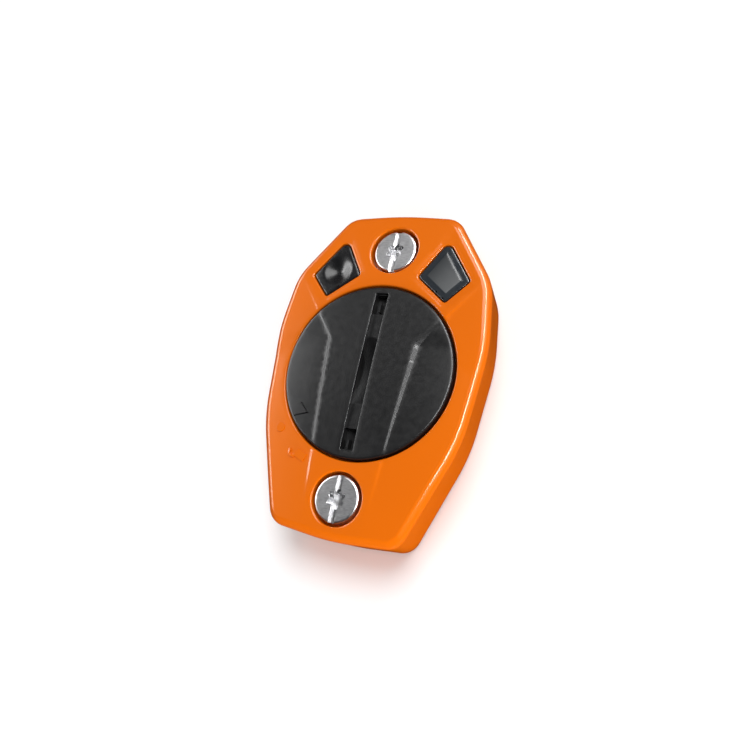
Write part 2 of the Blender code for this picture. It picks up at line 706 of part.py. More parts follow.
front_housing()
rear_cover()
rear_seal()
battery_cap()
node("cap_o_ring", torus(O_RING_R, O_RING_THICK / 2, O_RING_Z), RUBBER, (0, CAP_Y))
coin_cell()
cell_holder()
contacts()
screws()
button()
window()
circuit_board()
shield_can()
board_parts()
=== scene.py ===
"""Screw-on radio beacon tag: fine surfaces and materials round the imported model.

Shapes are worked out in millimetres in the frame's own axes: +X right, +Y towards
the button end, +Z out of the front face, z = 0 on the surface the tag lies on.
"""
import json
import math

import bmesh
import bpy
import numpy as np
from mathutils import Matrix, Vector
from mathutils.geometry import delaunay_2d_cdt


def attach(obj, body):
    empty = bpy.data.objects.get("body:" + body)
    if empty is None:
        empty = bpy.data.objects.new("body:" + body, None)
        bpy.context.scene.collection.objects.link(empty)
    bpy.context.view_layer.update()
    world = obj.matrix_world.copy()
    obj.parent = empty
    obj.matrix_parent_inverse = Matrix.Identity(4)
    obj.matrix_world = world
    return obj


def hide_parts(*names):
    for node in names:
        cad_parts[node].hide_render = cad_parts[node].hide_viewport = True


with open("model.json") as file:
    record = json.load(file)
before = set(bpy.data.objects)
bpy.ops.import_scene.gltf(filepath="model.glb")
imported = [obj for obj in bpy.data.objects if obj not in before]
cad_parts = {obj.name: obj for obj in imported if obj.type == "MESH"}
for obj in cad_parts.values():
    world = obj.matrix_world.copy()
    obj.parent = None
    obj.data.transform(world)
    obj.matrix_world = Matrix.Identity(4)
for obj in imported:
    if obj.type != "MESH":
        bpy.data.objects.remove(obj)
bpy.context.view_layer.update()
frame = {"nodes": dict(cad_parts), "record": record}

MM = 0.001

# Body -------------------------------------------------------------------------
FACE_Z = 9.6             # front face of the solid, which the draft is counted from
FACE_TOP = 9.5           # highest line of the crowned face
FACE_TOP_Y = 5.0
FACE_CROWN = 0.00072
RIM_Z = 0.25
DRAFT = 0.06
EDGE_ROUND = 1.3
EDGE_FLAT = 0.36         # narrow flat within the rounded front edge, and its tilt
EDGE_TILT = 34.0
FOOT_ROUND = 0.25
WALL = 1.6
REBATE_WALL = 0.9
REBATE_Z = 2.4
CEILING_Z = 8.0
FACE_STEP = 0.13         # side panels below the raised band, beside the cap
STEP_FADE = 8.0          # distance from the opening over which that step fades out
LEFT_ARM_STEP = 0.5      # its share beside the left arm
FACE_FACET = 0.3
PANEL_SLOPE = 0.028
PANEL_CURVE = 0.0042
LIP = 0.28
OVERLAP = 0.04           # by which parts of the housing overlap sideways before a union

# Cap --------------------------------------------------------------------------
CAP_Y = -0.35
OPENING_R = 13.2
CAP_R = 12.85
CAP_CROWN_Z = 9.97
CAP_CROWN_Y = 2.0        # counted from the cap's axis
CAP_CROWN = 0.0021
CAP_CROWN_ACROSS = 0.0007
CAP_STEP = 0.46          # side panels below the band, at its waist
CAP_STEP_FOOT = 0.16     # and at the bottom of the cap
FACET_WAIST = 0.64       # width of the sloping facet, at the waist
FACET_FOOT = 0.22
FACET_ARM = 0.4
CAP_STEP_ARM = 0.2
CREASE_ROUND = 0.04
CAP_PANEL_CURVE = 0.0042
LEFT_FACET = 0.45        # the left facet's size, as a share of the right one's
CAP_EDGE_ROUND = 0.35
CAP_UNDERSIDE = 7.7
SKIRT_R = 11.6
SKIRT_INNER_R = 10.6
SKIRT_FOOT = 5.1
SEAT_Z = 6.85
LEDGE_Z = 6.05
LEDGE_R = 11.9
WELL_R = 12.8
WELL_OUTER_R = 13.9
WELL_FOOT = 4.1
LUG_R = 12.5
LUG_TOP = 5.55           # clear of the ledge once the cap has risen
LUG_WIDTH = 3.0
LUG_LENGTH = 1.6         # counted inwards from LUG_R
LUG_ANGLES = (90.0, 210.0, 330.0)

# Coin slot --------------------------------------------------------------------
SLOT_WIDTH = 1.95
SLOT_LENGTH = 23.6
SLOT_FLOOR = 9.38
SLOT_LIP = 0.1
COIN_CHORD = 10.4
COIN_DEPTH = 1.9
POCKET_LENGTH = 3.0
POCKET_FLOOR = 8.3
POCKET_Y = 10.1
POCKET_RIB = 0.28
POCKET_RIB_Y = {1: -0.45, -1: -0.7}    # from the middle of the upper and lower pocket
CUT_GAP = 0.03           # by which the cuts in the slot's floor are narrower than the slot

# Engraved arrow ---------------------------------------------------------------
ARROW_TIP = Vector((-7.3, -7.65))
ARROW_ENDS = (Vector((-8.75, -6.35)), Vector((-9.35, -8.3)))
ARROW_WIDTH = 0.24
ARROW_DEPTH = 0.16

# Raised marks on the housing --------------------------------------------------
MARK_RISE = 0.13
DOT_BEVEL = 0.07
PADLOCK_BEVEL = 0.05
DOT = (-11.6, -10.2, 0.72)             # x, y, radius
PADLOCK = (-7.1, -13.75, -24.0)        # x, y, turn in degrees
LOCK_HALF = (0.85, 0.62)
SHACKLE_R = (0.72, 0.38)
SHACKLE_START = 154.0
SHACKLE_ARC = 200.0
SHACKLE_PLACE = (-1.36, -0.36)

# Screws -----------------------------------------------------------------------
SCREW_Y = 18.75
HEAD_R = 3.3
HEAD_FOOT = 7.25
HEAD_TOP = 9.05
HEAD_ROUND = (0.34, 0.26)
SCREW_BEVEL = 0.08
HEAD_SLOT_WIDTH = 0.95
HEAD_SLOT_DEPTH = 0.5
DRIVE_R = 1.2
DRIVE_WAVE = 0.22
DRIVE_DEPTH = 1.5
SHANK_R = 1.5
THREAD_TOP = 5.6
THREAD_END = 1.0
THREAD_DEPTH = 0.22
THREAD_PITCH = 0.5
RECESS_R = 3.75
RECESS_FLOOR = 6.95
BOSS_R = 4.8
BOSS_FOOT = 2.3
SLEEVE_BORE = 1.8
SLEEVE_HOLE_R = 2.9
SLEEVE_TOP = 6.0

# Rear cover -------------------------------------------------------------------
COVER_FOOT = 0.3
COVER_TOP = 1.5
COVER_INSET = 1.2
COVER_BEVEL = 0.12
LAND_SIZE = (18.0, 26.0)
BOARD_FOOT = 3.0
BOARD_POST_R = 0.9
BOARD_POSTS = ((-10.6, 9.5), (10.6, 9.5), (-9.6, -9.5), (9.6, -9.5))

# Button and window ------------------------------------------------------------
INSERT_GAP = 0.14
SURROUND = 0.6           # width of the shallow surround of each window
SURROUND_DEPTH = 0.045
SURROUND_SLOPE = 0.14
FLANGE = 0.3
FLANGE_FOOT = 6.9
FLANGE_TOP = 7.3
LENS_Z = 9.27
LENS_EDGE = 0.18
LENS_BORDER = 0.9
LENS_BEVEL = 0.22
LENS_STEP = 0.045
BUTTON_Z = 9.3
BUTTON_CROWN = 0.006
BUTTON_EDGE = 0.25
BUTTON_CENTRE = Vector((-8.65, 15.15))
DISH_R = 2.6
DISH_DEPTH = 0.72
POST_R = 1.2
POST_FOOT = 6.1

# Right half of the front outline, top to bottom: x, y, corner radius.
OUTLINE = (
    (8.9, 24.45, 3.5),
    (15.85, 14.2, 9.0),
    (17.05, 4.9, 26.0),
    (15.75, -8.6, 26.0),
    (9.95, -23.65, 3.0),
)
OUTLINE_TOP = (0.0, 25.05, 60.0)
OUTLINE_FOOT = (0.0, -24.5, 40.0)

# Right-hand window, top corner first, clockwise; the button's is its mirror.
WINDOW = ((8.3, 20.5, 1.0), (12.75, 14.15, 0.5), (9.55, 10.6, 0.5), (4.6, 14.55, 0.6))

# The raised band's right edge: out along the arm, the waist, down to the foot.
ARM_END = Vector((15.4, 15.1))
WAIST = Vector((6.7, 4.15))
FOOT_END = Vector((3.9, -30.0))
FOOT_RUN = 17.0          # lengths over which the cap's facet changes
ARM_RUN = 2.0

# Unit vectors out of the band, from its stem and from its arm.
STEM_ALONG = (FOOT_END - WAIST).normalized()
ARM_ALONG = (ARM_END - WAIST).normalized()
STEM_OUT = Vector((-STEM_ALONG.y, STEM_ALONG.x))
ARM_OUT = Vector((ARM_ALONG.y, -ARM_ALONG.x))
CORNER_OUT = (STEM_OUT + ARM_OUT).normalized()

# Meshing ----------------------------------------------------------------------
SMOOTH_ANGLE = math.radians(38)
LINE_GAP = 0.12          # closest that an extra line comes to a loop
POINT_GAP = 0.42         # closest that a grid point comes to an edge, in grid spacings

# Stage ------------------------------------------------------------------------
CAMERA_PLACE = Vector((39.5, -23.05, 87.75))
CAMERA_RIGHT = Vector((0.9028, 0.2203, -0.3695))
CAMERA_UP = Vector((-0.1027, 0.9445, 0.3121))
LENS = 30.397
SENSOR = 36.0
SUN_DIRECTION = (0.16, 0.54, 0.82)
SUN_STRENGTH = 2.1
SUN_ANGLE = 40.0
WORLD_STRENGTH = 0.55
LIGHT_TARGET = Vector((0.0, 0.0, 5.0))
# Reflected strips: name, azimuth and elevation of both ends, distance, width, watts.
STRIPS = (
    ("right_strip", (-24.0, 44.0), (26.0, 38.0), 320.0, 36.0, 1.1),
    ("top_right_strip", (26.0, 38.0), (72.0, 19.0), 320.0, 36.0, 1.0),
    ("left_low", (196.0, 15.0), (140.0, 15.0), 330.0, 60.0, 0.30),
)


# Outlines ---------------------------------------------------------------------
def rounded(corners, spacing=0.6, arc=math.radians(6)):
    """Closely spaced (point, outward normal) pairs round clockwise (x, y, radius) corners."""
    arcs = []
    count = len(corners)
    for i, (x, y, radius) in enumerate(corners):
        here = Vector((x, y))
        before = (Vector(corners[i - 1][:2]) - here).normalized()
        after = (Vector(corners[(i + 1) % count][:2]) - here).normalized()
        half = before.angle(after) / 2
        centre = here + (before + after).normalized() * (radius / math.sin(half))
        start = (here + before * (radius / math.tan(half)) - centre).normalized()
        turn = math.pi - 2 * half
        steps = math.ceil(max(turn / arc, turn * radius / spacing))
        normals = [Matrix.Rotation(-turn * j / steps, 2) @ start for j in range(steps + 1)]
        arcs.append([(centre + n * radius, n) for n in normals])
    pairs = []
    for i, turned_part in enumerate(arcs):
        pairs += turned_part
        here, normal = turned_part[-1]
        there = arcs[(i + 1) % count][0][0]
        steps = math.ceil((there - here).length / spacing)
        pairs += [(here.lerp(there, j / steps), normal) for j in range(1, steps)]
    return pairs


def moved(corners, distance):
    """The corners of a clockwise outline moved outwards; a negative distance is inwards."""
    grown = []
    count = len(corners)
    for i, (x, y, radius) in enumerate(corners):
        here = Vector((x, y))
        along_in = (here - Vector(corners[i - 1][:2])).normalized()
        along_out = (Vector(corners[(i + 1) % count][:2]) - here).normalized()
        normal_in = Vector((-along_in.y, along_in.x))
        normal_out = Vector((-along_out.y, along_out.x))
        middle = (normal_in + normal_out).normalized()
        place = here + middle * (distance / middle.dot(normal_in))
        grown.append((place.x, place.y, max(0.25, radius + distance)))
    return grown


def body_corners():
    left = [(-x, y, r) for x, y, r in reversed(OUTLINE)]
    return [OUTLINE_TOP, *OUTLINE, OUTLINE_FOOT, *left]


def window_corners(grow=0.0, mirror=False):
    corners = moved(WINDOW, grow)
    if mirror:
        corners = [(-x, y, r) for x, y, r in reversed(corners)]
    return corners


def rectangle(half_x, half_y, radius, centre_y=0.0):
    """Clockwise corners, from the upper left one."""
    return [(x, centre_y + y, radius) for x, y in
            ((-half_x, half_y), (half_x, half_y), (half_x, -half_y), (-half_x, -half_y))]


def narrowing(z):
    """The side walls lean in towards the rear."""
    return 1.0 - DRAFT * (FACE_Z - z) / FACE_Z


def circle(radius, count, centre_y=0.0):
    """Clockwise (point, radial direction) pairs; the radius may be a function of the angle."""
    pairs = []
    for i in range(count):
        a = -2 * math.pi * i / count
        normal = Vector((math.cos(a), math.sin(a)))
        length = radius(a) if callable(radius) else radius
        pairs.append((normal * length + Vector((0, centre_y)), normal))
    return pairs


# Heights ----------------------------------------------------------------------
def smoothstep(t):
    t = min(max(t, 0.0), 1.0)
    return t * t * (3 - 2 * t)


def beside_line(point, start, end):
    """Distance from a line, positive to the right of its direction."""
    along = (end - start).normalized()
    return (point - start).x * along.y - (point - start).y * along.x


def panel_distance(x, y):
    """How far a point lies outside the raised band; negative on the band."""
    point = Vector((abs(x), y))
    below_arm = beside_line(point, WAIST, ARM_END)
    beside_stem = -beside_line(point, WAIST, FOOT_END)
    return min(below_arm, beside_stem)


def facet_width(y):
    """Width of the sloping facet beside the band, which narrows away from the waist."""
    return from_waist(y, FACET_WAIST, FACET_FOOT, FACET_ARM)


def from_waist(y, waist, foot, arm):
    """A value that changes from the waist down to the foot and up along the arm."""
    if y < WAIST.y:
        return waist + (foot - waist) * min((WAIST.y - y) / FOOT_RUN, 1.0)
    return waist + (arm - waist) * min((y - WAIST.y) / ARM_RUN, 1.0)


def distance_to_corners(x, y, corners):
    """Distance outside a convex clockwise polygon; negative inside."""
    point = Vector((x, y))
    far = -1e9
    for i, corner in enumerate(corners):
        start = Vector(corners[i - 1][:2])
        far = max(far, -beside_line(point, start, Vector(corner[:2])))
    return far


def eased(t):
    """0 below zero and t above it, with the corner rounded."""
    if t <= -CREASE_ROUND:
        return 0.0
    if t >= CREASE_ROUND:
        return t
    return (t + CREASE_ROUND) ** 2 / (4 * CREASE_ROUND)


def facet(d, width):
    """Share of a step that a sloping facet has dropped at a distance from its edge."""
    return (eased(d) - eased(d - width)) / width


def face_height(x, y):
    """Front face of the housing: crowned, with lower side panels and window surrounds."""
    z = FACE_TOP - FACE_CROWN * (y - FACE_TOP_Y) ** 2
    d = panel_distance(x, y)
    if d > -CREASE_ROUND:
        from_cap = math.hypot(x, y - CAP_Y) - OPENING_R
        step = FACE_STEP * (1 - smoothstep(from_cap / STEP_FADE))
        if x < 0 and y > WAIST.y:
            step *= LEFT_ARM_STEP
        out = eased(d)
        z -= step * facet(d, FACE_FACET) + PANEL_SLOPE * out + PANEL_CURVE * out * out
    near = distance_to_corners(abs(x), y, WINDOW)
    slope = (near - SURROUND + SURROUND_SLOPE / 2) / SURROUND_SLOPE
    z -= SURROUND_DEPTH * (1 - smoothstep(slope))
    return z


def cap_height(x, y):
    """Top of the cap: a domed band down the middle, facets, and lower side panels."""
    v = y - CAP_Y
    z = CAP_CROWN_Z - CAP_CROWN * (v - CAP_CROWN_Y) ** 2 - CAP_CROWN_ACROSS * x * x
    d = panel_distance(x, y)
    if d > -CREASE_ROUND:
        share = 1.0 if x > 0 else LEFT_FACET
        width = facet_width(y) * share
        step = from_waist(y, CAP_STEP, CAP_STEP_FOOT, CAP_STEP_ARM) * share
        z -= step * facet(d, width)
        beyond = max(d - width, 0.0)
        z -= CAP_PANEL_CURVE * beyond * beyond
    return z


# Mesh building ----------------------------------------------------------------
class Skin:
    """Points in millimetres and faces, gathered loop by loop into one closed body."""

    def __init__(self):
        self.points = []
        self.faces = []

    def add(self, x, y, z):
        self.points.append((x, y, z))
        return len(self.points) - 1

    def loop(self, pairs, grow, height, scale_x=None):
        """Adds a loop grown along its normals; height is a number or a function of x, y."""
        indices = []
        for point, normal in pairs:
            x, y = point + normal * grow
            z = height(x, y) if callable(height) else height
            factor = scale_x(z) if scale_x else 1.0
            indices.append(self.add(x * factor, y, z))
        return indices

    def bridge(self, first, second):
        count = len(first)
        for i in range(count):
            j = (i + 1) % count
            self.faces.append((first[i], first[j], second[j], second[i]))

    def chain(self, loops):
        for first, second in zip(loops, loops[1:]):
            self.bridge(first, second)

    def fill(self, loop):
        """One face across a loop."""
        self.faces.append(tuple(loop))

    def close(self, loops):
        """A closed body through a row of loops, with both ends filled."""
        self.chain(loops)
        self.fill(loops[0])
        self.fill(loops[-1])

    def surface(self, outer, holes, lines, height, spacing):
        """Meshes the space between loops, with extra edges along the given lines."""
        coords, edges, known = [], [], []
        for loop in (outer, *holes):
            first = len(coords)
            for k, index in enumerate(loop):
                coords.append(Vector(self.points[index][:2]))
                known.append(index)
                edges.append((first + k, first + (k + 1) % len(loop)))
        rings = [[Vector(self.points[i][:2]) for i in loop] for loop in (outer, *holes)]
        border = np.array([[*a, *b] for ring in rings
                           for a, b in zip(ring, ring[1:] + ring[:1])])
        for line in lines:
            last = None
            for point in line:
                if not within(point, rings) or gap_to(point, border) < LINE_GAP:
                    last = None
                    continue
                coords.append(Vector(point))
                known.append(None)
                if last is not None:
                    edges.append((last, len(coords) - 1))
                last = len(coords) - 1
        segments = np.array([[*coords[a], *coords[b]] for a, b in edges])
        for point in grid(rings[0], spacing):
            if within(point, rings) and gap_to(point, segments) > POINT_GAP * spacing:
                coords.append(Vector(point))
                known.append(None)
        verts, _, triangles, origins, _, _ = delaunay_2d_cdt(coords, edges, [], 0, 1e-5)
        place = []
        for vert, sources in zip(verts, origins):
            index = next((known[s] for s in sources if known[s] is not None), None)
            if index is None:
                index = self.add(vert.x, vert.y, height(vert.x, vert.y))
            place.append(index)
        for triangle in triangles:
            centre = sum((verts[i] for i in triangle), Vector((0, 0))) / 3
            if within(centre, rings):
                self.faces.append(tuple(place[i] for i in triangle))

    def mesh(self, name):
        made = bpy.data.meshes.new(name)
        made.from_pydata([(x * MM, y * MM, z * MM) for x, y, z in self.points], [], self.faces)
        bm = bmesh.new()
        bm.from_mesh(made)
        bmesh.ops.recalc_face_normals(bm, faces=bm.faces)
        bm.to_mesh(made)
        bm.free()
        return made


def inside_ring(point, ring):
    """Even-odd test of a point against one closed ring."""
    x, y = point
    odd = False
    for a, b in zip(ring, ring[1:] + ring[:1]):
        if (a.y > y) != (b.y > y) and x < (b.x - a.x) * (y - a.y) / (b.y - a.y) + a.x:
            odd = not odd
    return odd


def within(point, rings):
    """Inside the first ring and outside the others."""
    return inside_ring(point, rings[0]) and not any(inside_ring(point, r) for r in rings[1:])


def gap_to(point, segments):
    """Distance from a point to the nearest of many segments."""
    p = np.array(point)
    a, b = segments[:, :2], segments[:, 2:]
    along = b - a
    t = np.clip(((p - a) * along).sum(1) / np.maximum((along ** 2).sum(1), 1e-12), 0, 1)
    return np.linalg.norm(a + along * t[:, None] - p, axis=1).min()


def grid(ring, spacing):
    """Staggered rows of points over a ring's box."""
    low_x, high_x = min(p.x for p in ring), max(p.x for p in ring)
    low_y, high_y = min(p.y for p in ring), max(p.y for p in ring)
    rise = spacing * math.sqrt(3) / 2
    for row in range(int((high_y - low_y) / rise) + 1):
        shift = spacing / 2 if row % 2 else 0.0
        for column in range(int((high_x - low_x) / spacing) + 1):
            yield (low_x + shift + column * spacing, low_y + row * rise)


def quarter(width, depth, steps):
    """(sideways, down) points of a rounded edge, from the flat to the wall."""
    return [(width * (1 - math.sin(a)), depth * (1 - math.cos(a)))
            for a in (math.pi / 2 * i / steps for i in range(steps + 1))]


def front_edge():
    """(sideways, down) points of the front edge: two arcs with a narrow flat between."""
    steps = 5
    tilt = math.radians(EDGE_TILT)
    radius = EDGE_ROUND - EDGE_FLAT * math.cos(tilt)
    points = []
    for i in range(steps + 1):
        a = tilt * i / steps
        points.append((EDGE_ROUND - radius * math.sin(a), radius * (1 - math.cos(a))))
    for i in range(steps + 1):
        a = tilt + (math.pi / 2 - tilt) * i / steps
        points.append((radius * (1 - math.sin(a)),
                       radius * (1 - math.cos(a)) + EDGE_FLAT * math.sin(tilt)))
    return points


def piece(name, mesh, body, slot, *nodes):
    """One visible piece that rides on a body and stands for CAD nodes."""
    obj = bpy.data.objects.new(name, mesh)
    bpy.context.scene.collection.objects.link(obj)
    obj.data.shade_smooth()
    obj.data.set_sharp_from_angle(angle=SMOOTH_ANGLE)
    step = obj.modifiers.new("even_normals", "WEIGHTED_NORMAL")
    step.keep_sharp = True
    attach(obj, body)
    if nodes:
        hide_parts(*nodes)
    obj.data.materials.clear()
    obj.data.materials.append(MATERIALS[slot])
    return obj


def tool(mesh):
    obj = bpy.data.objects.new("tool", mesh)
    bpy.context.scene.collection.objects.link(obj)
    return obj


def combined(mesh, *steps):
    """A mesh after a list of (operation, tool mesh) Booleans."""
    base = tool(mesh)
    others = []
    for operation, other in steps:
        step = base.modifiers.new(operation, "BOOLEAN")
        step.operation = operation
        step.solver = "EXACT"
        step.object = tool(other)
        others.append(step.object)
    result = evaluated(base)
    for other in others:
        bpy.data.objects.remove(other, do_unlink=True)
    return result


def evaluated(obj):
    """The mesh of an object with its modifiers applied; the object is removed."""
    graph = bpy.context.evaluated_depsgraph_get()
    graph.update()
    mesh = bpy.data.meshes.new_from_object(obj.evaluated_get(graph))
    bpy.data.objects.remove(obj, do_unlink=True)
    return mesh


def bevelled(mesh, width, segments=2, angle=math.radians(40)):
    obj = tool(mesh)
    step = obj.modifiers.new("edges", "BEVEL")
    step.width = width * MM
    step.segments = segments
    step.limit_method = "ANGLE"
    step.angle_limit = angle
    step.use_clamp_overlap = True
    return evaluated(obj)


def turned(profile, count=72, centre_y=0.0, closed=False):
    """A profile of (radius, z) points, top to bottom outside, turned about an axis."""
    skin = Skin()
    loops = [skin.loop(circle(radius, count, centre_y), 0.0, z) for radius, z in profile]
    if closed:
        skin.chain(loops + loops[:1])
    else:
        skin.close(loops)
    return skin.mesh("turned")


def prism(pairs, low, high):
    """An upright body between two heights."""
    skin = Skin()
    skin.close([skin.loop(pairs, 0.0, z) for z in (high, low)])
    return skin.mesh("prism")


def slab(first, second):
    """A body between two flat rings of (x, y, z) points."""
    skin = Skin()
    skin.close([[skin.add(*point) for point in ring] for ring in (first, second)])
    return skin.mesh("slab")


def block(size, low, high, place=(0.0, 0.0), turn=0.0):
    """A box of (x, y) size from low to high, turned about its own upright axis."""
    bm = bmesh.new()
    bmesh.ops.create_cube(bm, size=1.0)
    bmesh.ops.scale(bm, vec=(size[0] * MM, size[1] * MM, (high - low) * MM), verts=bm.verts)
    bmesh.ops.rotate(bm, matrix=Matrix.Rotation(math.radians(turn), 3, "Z"), verts=bm.verts)
    middle = (place[0] * MM, place[1] * MM, (low + high) / 2 * MM)
    bmesh.ops.translate(bm, vec=middle, verts=bm.verts)
    mesh = bpy.data.meshes.new("block")
    bm.to_mesh(mesh)
    bm.free()
    return mesh


# Materials --------------------------------------------------------------------
class Look:
    """A Principled material whose inputs are driven by procedural nodes."""

    def __init__(self, name, roughness, metallic=0.0, coat=0.0):
        self.material = bpy.data.materials.new(name)
        self.material.use_nodes = True
        self.tree = self.material.node_tree
        self.shader = self.tree.nodes["Principled BSDF"]
        self.shader.inputs["Roughness"].default_value = roughness
        self.shader.inputs["Metallic"].default_value = metallic
        self.shader.inputs["IOR"].default_value = 1.5
        self.shader.inputs["Coat Weight"].default_value = coat
        self.place = self.node("ShaderNodeTexCoord").outputs["Object"]

    def node(self, kind, **settings):
        made = self.tree.nodes.new(kind)
        for key, value in settings.items():
            setattr(made, key, value)
        return made

    def link(self, output, target):
        self.tree.links.new(output, target)

    def noise(self, scale, detail=3.0, stretch=(1.0, 1.0, 1.0)):
        """Noise whose scale is in features per metre."""
        mapping = self.node("ShaderNodeMapping")
        mapping.inputs["Scale"].default_value = stretch
        self.link(self.place, mapping.inputs["Vector"])
        made = self.node("ShaderNodeTexNoise")
        made.inputs["Scale"].default_value = scale
        made.inputs["Detail"].default_value = detail
        self.link(mapping.outputs["Vector"], made.inputs["Vector"])
        return made.outputs["Fac"]

    def spread(self, value, low, high):
        """Noise brought to a range, from the middle half of its values."""
        made = self.node("ShaderNodeMapRange")
        made.inputs["From Min"].default_value = 0.25
        made.inputs["From Max"].default_value = 0.75
        made.inputs["To Min"].default_value = low
        made.inputs["To Max"].default_value = high
        self.link(value, made.inputs["Value"])
        return made.outputs["Result"]

    def colour(self, value, first, second):
        """The base colour: a blend of two near colours."""
        ramp = self.node("ShaderNodeValToRGB")
        ramp.color_ramp.elements[0].position = 0.3
        ramp.color_ramp.elements[0].color = (*first, 1.0)
        ramp.color_ramp.elements[1].position = 0.7
        ramp.color_ramp.elements[1].color = (*second, 1.0)
        self.link(value, ramp.inputs["Fac"])
        self.link(ramp.outputs["Color"], self.shader.inputs["Base Color"])

    def between(self, value, low, high):
        """0 at the low end and 1 at the high end."""
        made = self.node("ShaderNodeMapRange")
        made.inputs["From Min"].default_value = low
        made.inputs["From Max"].default_value = high
        self.link(value, made.inputs["Value"])
        return made.outputs["Result"]

    def mix(self, share, first, second):
        """A blend of two colours, each a triple or another node's output."""
        made = self.node("ShaderNodeMix", data_type="RGBA")
        self.link(share, made.inputs["Factor"])
        for name, colour in (("A", first), ("B", second)):
            socket = [s for s in made.inputs if s.name == name and s.type == "RGBA"][0]
            if isinstance(colour, tuple):
                socket.default_value = (*colour, 1.0)
            else:
                self.link(colour, socket)
        return [s for s in made.outputs if s.type == "RGBA"][0]

    def roughen(self, value, low, high):
        self.link(self.spread(value, low, high), self.shader.inputs["Roughness"])

    def bump(self, value, height, strength):
        """Fine relief of a height in millimetres."""
        made = self.node("ShaderNodeBump")
        made.inputs["Strength"].default_value = strength
        made.inputs["Distance"].default_value = height * MM
        self.link(value, made.inputs["Height"])
        self.link(made.outputs["Normal"], self.shader.inputs["Normal"])


def orange_plastic():
    look = Look("orange_plastic", 0.34, coat=0.65)
    look.shader.inputs["Coat Roughness"].default_value = 0.13
    look.shader.inputs["Specular IOR Level"].default_value = 0.25
    look.shader.inputs["Specular Tint"].default_value = (1.0, 0.6, 0.18, 1.0)
    look.colour(look.noise(60.0), (0.715, 0.131, 0.0), (0.735, 0.137, 0.0))
    look.roughen(look.noise(900.0), 0.325, 0.355)
    look.bump(look.noise(6500.0, 2.0), 0.002, 0.2)
    return look.material


def black_plastic():
    look = Look("black_plastic", 0.42)
    look.shader.inputs["Specular IOR Level"].default_value = 0.45
    look.colour(look.noise(90.0), (0.0062, 0.0062, 0.0068), (0.0092, 0.0092, 0.0098))
    look.roughen(look.noise(1200.0), 0.30, 0.38)
    look.bump(look.noise(9000.0, 2.0), 0.006, 0.5)
    return look.material


def gloss_black():
    look = Look("gloss_black_plastic", 0.12)
    look.colour(look.noise(120.0), (0.006, 0.006, 0.007), (0.009, 0.009, 0.010))
    look.roughen(look.noise(700.0), 0.22, 0.30)
    look.bump(look.noise(2500.0, 2.0), 0.002, 0.2)
    return look.material


def smoked_lens():
    """Dark border; the pane behind the step has a painted reflection: its colour lightens
    towards its lower right corner.
    """
    look = Look("smoked_lens", 0.2, coat=0.3)
    look.shader.inputs["Coat Roughness"].default_value = 0.2
    # Painted reflection: the pane's colour is mixed lighter towards its lower right corner.
    across = look.node("ShaderNodeVectorMath", operation="DOT_PRODUCT")
    across.inputs[1].default_value = (0.8, -0.6, 0.0)
    look.link(look.place, across.inputs[0])
    pane_painted_reflection = look.between(across.outputs["Value"], -0.0042, 0.0012)
    height = look.node("ShaderNodeSeparateXYZ")
    look.link(look.place, height.inputs["Vector"])
    inner = look.between(height.outputs["Z"], (LENS_Z + 0.01) * MM, (LENS_Z + 0.035) * MM)
    pane = look.mix(pane_painted_reflection, (0.042, 0.045, 0.048), (0.145, 0.150, 0.153))
    look.link(look.mix(inner, (0.022, 0.027, 0.033), pane), look.shader.inputs["Base Color"])
    look.roughen(look.noise(800.0), 0.16, 0.24)
    return look.material


def clear_plastic():
    look = Look("clear_plastic", 0.08)
    look.shader.inputs["Transmission Weight"].default_value = 0.85
    look.colour(look.noise(300.0), (0.86, 0.9, 0.92), (0.93, 0.95, 0.96))
    look.roughen(look.noise(900.0), 0.05, 0.12)
    return look.material


def rubber():
    look = Look("seal_rubber", 0.7)
    look.colour(look.noise(400.0), (0.017, 0.017, 0.018), (0.03, 0.03, 0.032))
    look.roughen(look.noise(2500.0), 0.62, 0.78)
    look.bump(look.noise(7000.0), 0.01, 0.4)
    return look.material


def metal(name, first, second, rough_low, rough_high, stretch, scale, height):
    look = Look(name, rough_low, metallic=1.0)
    grain = look.noise(scale, 3.0, stretch)
    look.colour(grain, first, second)
    look.roughen(grain, rough_low, rough_high)
    look.bump(grain, height, 0.5)
    return look.material


def board_green():
    look = Look("board_green", 0.38)
    look.colour(look.noise(250.0, 5.0), (0.004, 0.07, 0.028), (0.008, 0.11, 0.045))
    look.roughen(look.noise(1500.0), 0.3, 0.45)
    look.bump(look.noise(1200.0, 1.0), 0.02, 0.3)
    return look.material


def matt(name, first, second, rough):
    look = Look(name, rough)
    look.colour(look.noise(700.0, 4.0), first, second)
    look.roughen(look.noise(2500.0), rough - 0.06, rough + 0.06)
    look.bump(look.noise(6000.0), 0.006, 0.4)
    return look.material


